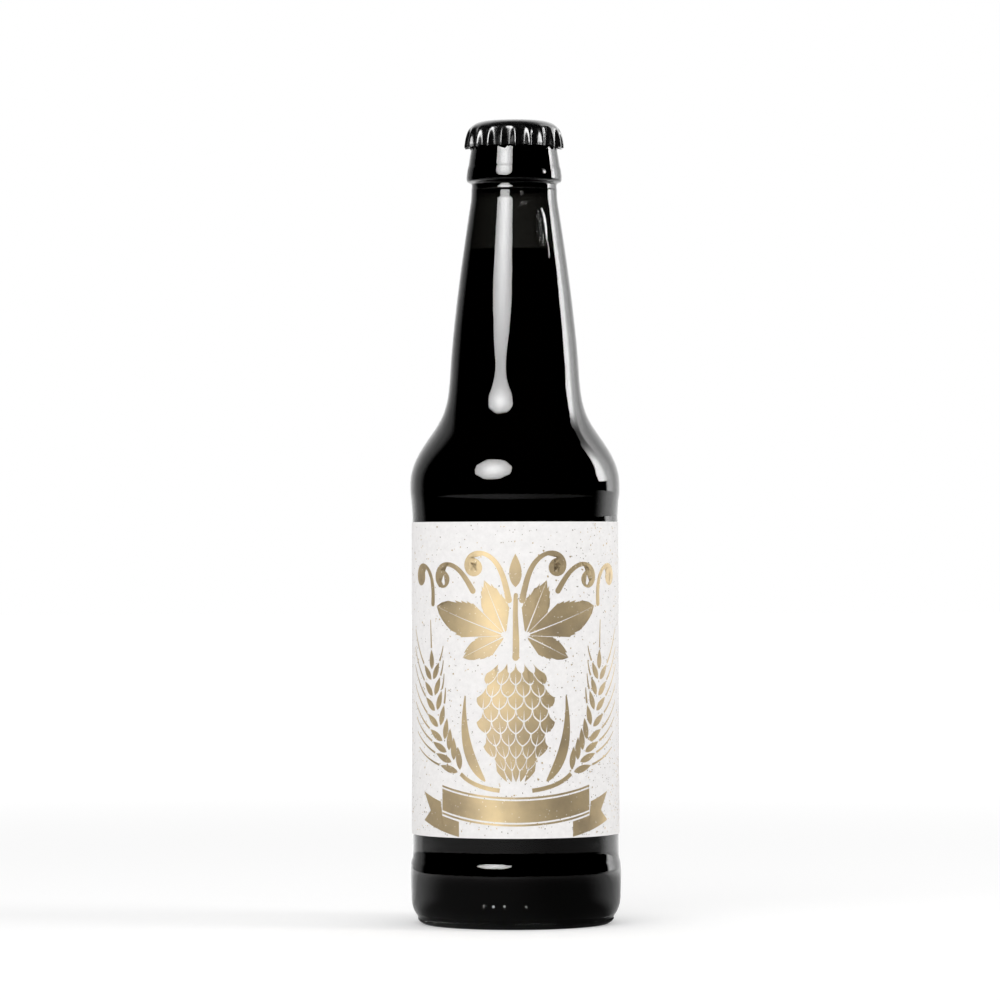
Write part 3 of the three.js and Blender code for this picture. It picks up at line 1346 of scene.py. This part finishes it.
@dataclass
class Studio:
    """The camera, the floor, the walls and the lights.

    Distances here are in metres, and turns are in degrees from the camera's side, round to the right. Shiny
    things see the floor and the walls darker than they are, as black flags round a set would make them, and
    each part of them fades with the turn, or with how far out or how high it is.
    """

    eye_distance: float = 1.45
    eye_height: float = 0.1103
    eye_side: float = -0.0043
    pixels_per_mm: float = 3.47
    picture_width: int = 1000
    sensor: float = 36.0
    tilt_up: float = 0.456
    roll: float = 0.14

    floor_half_width: float = 6.0
    floor_grey: float = 0.88
    floor_glow: Fade = Fade(0.3, 1.3, 0.24, 0.5)
    ambient: float = 0.67

    front_starts: Fade = Fade(0.1, 0.3, 0.1, 0.33)
    front_ends: Fade = Fade(0.56, 0.66, 1.0, 0.0)
    front_dims_right: Fade = Fade(-20, 40, 1.0, 0.5)
    right_floor: Fade = Fade(98, 124, 0.0, BACK_WALL)
    right_floor_near: Fade = Fade(0.12, 0.3, 0.4, 1.0)
    left_near: Fade = Fade(-131, -118, 0.36, 0.0)
    left_far: Fade = Fade(-175, -128, BACK_WALL - 0.36, 0.0)
    left_floor_near: Fade = Fade(0.3, 0.9, 1.6, 1.0)
    foot_sides: Fade = Fade(70, 112, 0.0, 0.4)
    foot_ends: Fade = Fade(0.3, 0.5, 1.0, 0.0)
    behind: Fade = Fade(140, 178, 0.0, 1.0)
    right_wall_starts: Fade = Fade(119, 125, 0.0, 1.0)
    right_wall: Fade = Fade(122, 145, SCREEN_END, BACK_WALL)
    walls_end_up: Fade = Fade(42, 64, 1.0, 0.02)

    lamp_distance: float = 1.2
    lamp_height: float = 0.12
    softbox_aim: Aim = Aim(-25.5, 28.0)
    softbox_half_size: tuple[float, float] = (0.41, 0.385)
    softbox_corners: int = 8
    softbox_glow: Fade = Fade(0.0, 1.0, 20.5, 10.0)
    screen_distance: float = 0.65
    screen_corners: tuple[tuple[float, float], ...] = (
        (104, 0.171), (126, 0.171), (126, 0.671), (112, 0.671), (101, 0.26),
    )
    screen_glow: Fade = Fade(109, 124, 10.8, SCREEN_END)
    screen_dims_up: Fade = Fade(0.4, 0.67, 1.0, 0.12)
    fills: tuple[Lamp, ...] = (
        Lamp("key_fill", Aim(-25.5, 30.5), 1.2, 3.9),
        Lamp("side_fill", Aim(76.0, 40.0), 0.4, 2.4),
    )

    def add_camera(self) -> None:
        """Puts the camera where the photograph was taken from."""
        data = bpy.data.cameras.new("camera")
        data.sensor_width = self.sensor
        data.lens = self.eye_distance / MM * self.pixels_per_mm * self.sensor / self.picture_width
        camera = bpy.data.objects.new("camera", data)
        camera.matrix_world = (
            Matrix.Translation((self.eye_side, -self.eye_distance, self.eye_height))
            @ Matrix.Rotation(math.radians(90 + self.tilt_up), 4, "X")
            @ Matrix.Rotation(math.radians(-self.roll), 4, "Z")
        )
        bpy.context.scene.collection.objects.link(camera)
        bpy.context.scene.camera = camera

    @staticmethod
    def add_stage(bm: BMesh, name: str, material: Material) -> Piece:
        """Makes a thing of the studio, which is no part of the bottle.

        Args:
            bm: Its shape, in metres. It is freed.
            name: Its name.
            material: What it is made of.

        Returns:
            The new object.
        """
        mesh = bpy.data.meshes.new(name)
        bm.to_mesh(mesh)
        bm.free()
        mesh.materials.append(material)
        thing = bpy.data.objects.new(name, mesh)
        bpy.context.scene.collection.objects.link(thing)
        return thing

    @classmethod
    def add_panel(cls, bm: BMesh, name: str, material: Material) -> Piece:
        """Makes a lit panel that shows only in shiny things.

        Args:
            bm: Its shape, in metres. It is freed.
            name: Its name.
            material: What it is made of.

        Returns:
            The new panel.
        """
        panel = cls.add_stage(bm, name, material)
        panel.visible_camera = False
        panel.visible_diffuse = False
        panel.visible_shadow = False
        panel.visible_transmission = False
        return panel

    @staticmethod
    def bearing(tree: Tree, place: Socket) -> Node:
        """Works out how far round a place lies, in degrees from the camera's side, to the right.

        Args:
            tree: The tree that it goes in.
            place: The place.

        Returns:
            The node that has the degrees.
        """
        parts = add_node(tree, "SeparateXYZ", {0: place}).outputs
        ahead = add_node(tree, "Math", {0: parts["Y"], 1: -1.0}, operation="MULTIPLY")
        turn = add_node(tree, "Math", {0: parts["X"], 1: ahead}, operation="ARCTAN2")
        return add_node(tree, "Math", {0: turn}, operation="DEGREES")

    def left_wall(self, tree: Tree, turn: Node) -> Node:
        """Adds the strength of the pale wall on the left, which brightens towards the back."""
        return combined(tree, "ADD", self.left_near.over(tree, turn), self.left_far.over(tree, turn))

    def floor_in_shine(self, tree: Tree, far: Socket, turn: Node) -> Node:
        """Adds the strength of the floor as shiny things see it.

        Args:
            tree: The floor's tree.
            far: How far out a place on it is.
            turn: How far round that is.

        Returns:
            The node that has the strength.
        """
        away = add_node(tree, "Math", {0: turn}, operation="ABSOLUTE")
        front = combined(tree, "MULTIPLY", self.front_starts.over(tree, far), self.front_ends.over(tree, far),
                         self.front_dims_right.over(tree, turn))
        right = combined(tree, "MULTIPLY", self.right_floor.over(tree, turn),
                         self.right_floor_near.over(tree, far))
        left = combined(tree, "MULTIPLY", self.left_wall(tree, turn), self.left_floor_near.over(tree, far))
        foot = combined(tree, "MULTIPLY", self.foot_sides.over(tree, away), self.foot_ends.over(tree, far))
        sides = combined(tree, "MAXIMUM", combined(tree, "ADD", right, left), foot)
        mixed = {FACTOR: self.behind.over(tree, away), NUMBER_A: sides, NUMBER_B: BACK_WALL}
        return combined(tree, "ADD", front, add_node(tree, "Mix", mixed, data_type="FLOAT"))

    def add_floor(self) -> None:
        """Lays a plain pale floor that is lit out to white, though shiny things see it darker."""
        bm = bmesh.new()
        bmesh.ops.create_grid(bm, x_segments=1, y_segments=1, size=self.floor_half_width)
        material, tree = new_material("pale_floor")
        place = add_node(tree, "TexCoord").outputs["Object"]
        far = add_node(tree, "VectorMath", {0: place}, operation="LENGTH").outputs["Value"]
        turn = self.bearing(tree, place)
        pale = add_node(tree, "BsdfDiffuse", {"Color": (*[self.floor_grey] * 3, 1)})
        glow = add_node(tree, "Emission", {"Strength": self.floor_glow.over(tree, far)})
        lit = add_node(tree, "AddShader", {0: pale, 1: glow})
        dim = add_node(tree, "Emission", {"Strength": self.floor_in_shine(tree, far, turn)})
        in_shine = add_node(tree, "LightPath").outputs["Is Glossy Ray"]
        seen = add_node(tree, "MixShader", {0: in_shine, 1: lit, 2: dim})
        add_node(tree, "OutputMaterial", {"Surface": seen})
        self.add_stage(bm, "floor", material)

    def add_world(self) -> None:
        """Surrounds the bottle with white, of which shiny things see only the walls beside and behind it."""
        world = bpy.data.worlds.new("studio")
        bpy.context.scene.world = world
        world.use_nodes = True
        # The walls are so even that their light needs no map of its own.
        world.cycles.sampling_method = "NONE"
        tree = world.node_tree
        tree.nodes.clear()
        path = add_node(tree, "LightPath").outputs
        direction = add_node(tree, "TexCoord").outputs["Generated"]
        turn = self.bearing(tree, direction)
        height = add_node(tree, "SeparateXYZ", {0: direction}).outputs["Z"]
        slope = add_node(tree, "Math", {0: height}, operation="ARCSINE")
        rise = add_node(tree, "Math", {0: slope}, operation="DEGREES")
        right = combined(tree, "MULTIPLY", self.right_wall_starts.over(tree, turn),
                         self.right_wall.over(tree, turn))
        walls = combined(tree, "MULTIPLY", combined(tree, "ADD", right, self.left_wall(tree, turn)),
                         self.walls_end_up.over(tree, rise))
        lit = add_node(tree, "Mix", {FACTOR: path["Is Glossy Ray"], NUMBER_A: self.ambient, NUMBER_B: walls},
                       data_type="FLOAT")
        clear = combined(tree, "MAXIMUM", path["Is Transmission Ray"], path["Is Camera Ray"])
        strength = add_node(tree, "Mix", {FACTOR: clear, NUMBER_A: lit, NUMBER_B: 1.0}, data_type="FLOAT")
        sky = add_node(tree, "Background", {"Color": "#ffffff", "Strength": strength})
        add_node(tree, "OutputWorld", {"Surface": sky})

    def add_softbox(self) -> None:
        """Hangs the eight-sided softbox, which is brightest in its middle."""
        bm = bmesh.new()
        half_side = math.pi / self.softbox_corners
        bmesh.ops.create_circle(bm, cap_ends=True, segments=self.softbox_corners,
                                radius=1 / math.cos(half_side), matrix=Matrix.Rotation(half_side, 4, "Z"))
        material, tree = new_material("octagon_softbox")
        place = add_node(tree, "TexCoord").outputs["Object"]
        far = add_node(tree, "VectorMath", {0: place}, operation="LENGTH").outputs["Value"]
        glow = add_node(tree, "Emission", {"Strength": self.softbox_glow.over(tree, far)})
        add_node(tree, "OutputMaterial", {"Surface": glow})
        panel = self.add_panel(bm, "octagon_softbox", material)
        hung = self.softbox_aim.facing_back(self.lamp_distance, self.lamp_height)
        panel.matrix_world = hung @ Matrix.Diagonal((*self.softbox_half_size, 1, 1))

    def add_side_screen(self) -> None:
        """Stands the bright part of the screen on the right, which dims towards the back and the top.

        Its corners are given by their turn and height.
        """
        bm = bmesh.new()
        bm.faces.new([bm.verts.new(Aim(turn, 0).place(self.screen_distance, height))
                      for turn, height in self.screen_corners])
        material, tree = new_material("side_screen")
        place = add_node(tree, "TexCoord").outputs["Object"]
        height = add_node(tree, "SeparateXYZ", {0: place}).outputs["Z"]
        strength = combined(tree, "MULTIPLY", self.screen_dims_up.over(tree, height),
                            self.screen_glow.over(tree, self.bearing(tree, place)))
        add_node(tree, "OutputMaterial", {"Surface": add_node(tree, "Emission", {"Strength": strength})})
        self.add_panel(bm, "side_screen", material)

    def add_fill(self, fill: Lamp) -> None:
        """Hangs a soft lamp.

        Args:
            fill: The lamp.
        """
        data = bpy.data.lights.new(fill.name, "AREA")
        data.shape = "DISK"
        data.size = fill.size
        data.energy = fill.power
        lamp = bpy.data.objects.new(fill.name, data)
        lamp.matrix_world = fill.aim.facing_back(self.lamp_distance, self.lamp_height)
        bpy.context.scene.collection.objects.link(lamp)
        lamp.visible_camera = False
        lamp.visible_glossy = False
        lamp.visible_transmission = False

    def build(self) -> None:
        """Sets up the whole studio."""
        bpy.context.scene.view_settings.view_transform = "Standard"
        self.add_camera()
        self.add_floor()
        self.add_world()
        self.add_softbox()
        self.add_side_screen()
        for fill in self.fills:
            self.add_fill(fill)


def main() -> None:
    """Builds the studio and the bottle."""
    logging.basicConfig(level=logging.INFO, format="%(name)s: %(message)s")
    Studio().build()

    black_glass = MouldedGlass("black_container_glass").material()
    glass = Glass()
    glass.build(black_glass)
    MouldMarks(glass, black_glass).build()
    Beer(glass).build(DarkBeer("stout").material())
    CrownCap().build(BakedEnamel("baked_black_enamel").material())

    label = Label(glass)
    foil = PressedFoil("hot_pressed_gold_foil").material()
    label.build_paper(UncoatedPaper("uncoated_label_paper").material())
    artwork = Artwork()
    artwork.draw_front()
    label.build_print(artwork.shapes, label.foil, "foil_ornament", foil)
    label.build_print(label.flecks(label.foil_spray), label.ink, "foil_flecks", foil)
    ink = PrintInk("grey_offset_ink").material()
    label.build_print(label.flecks(label.ink_spray), label.ink, "ink_flecks", ink)


if __name__ == "__main__":
    main()
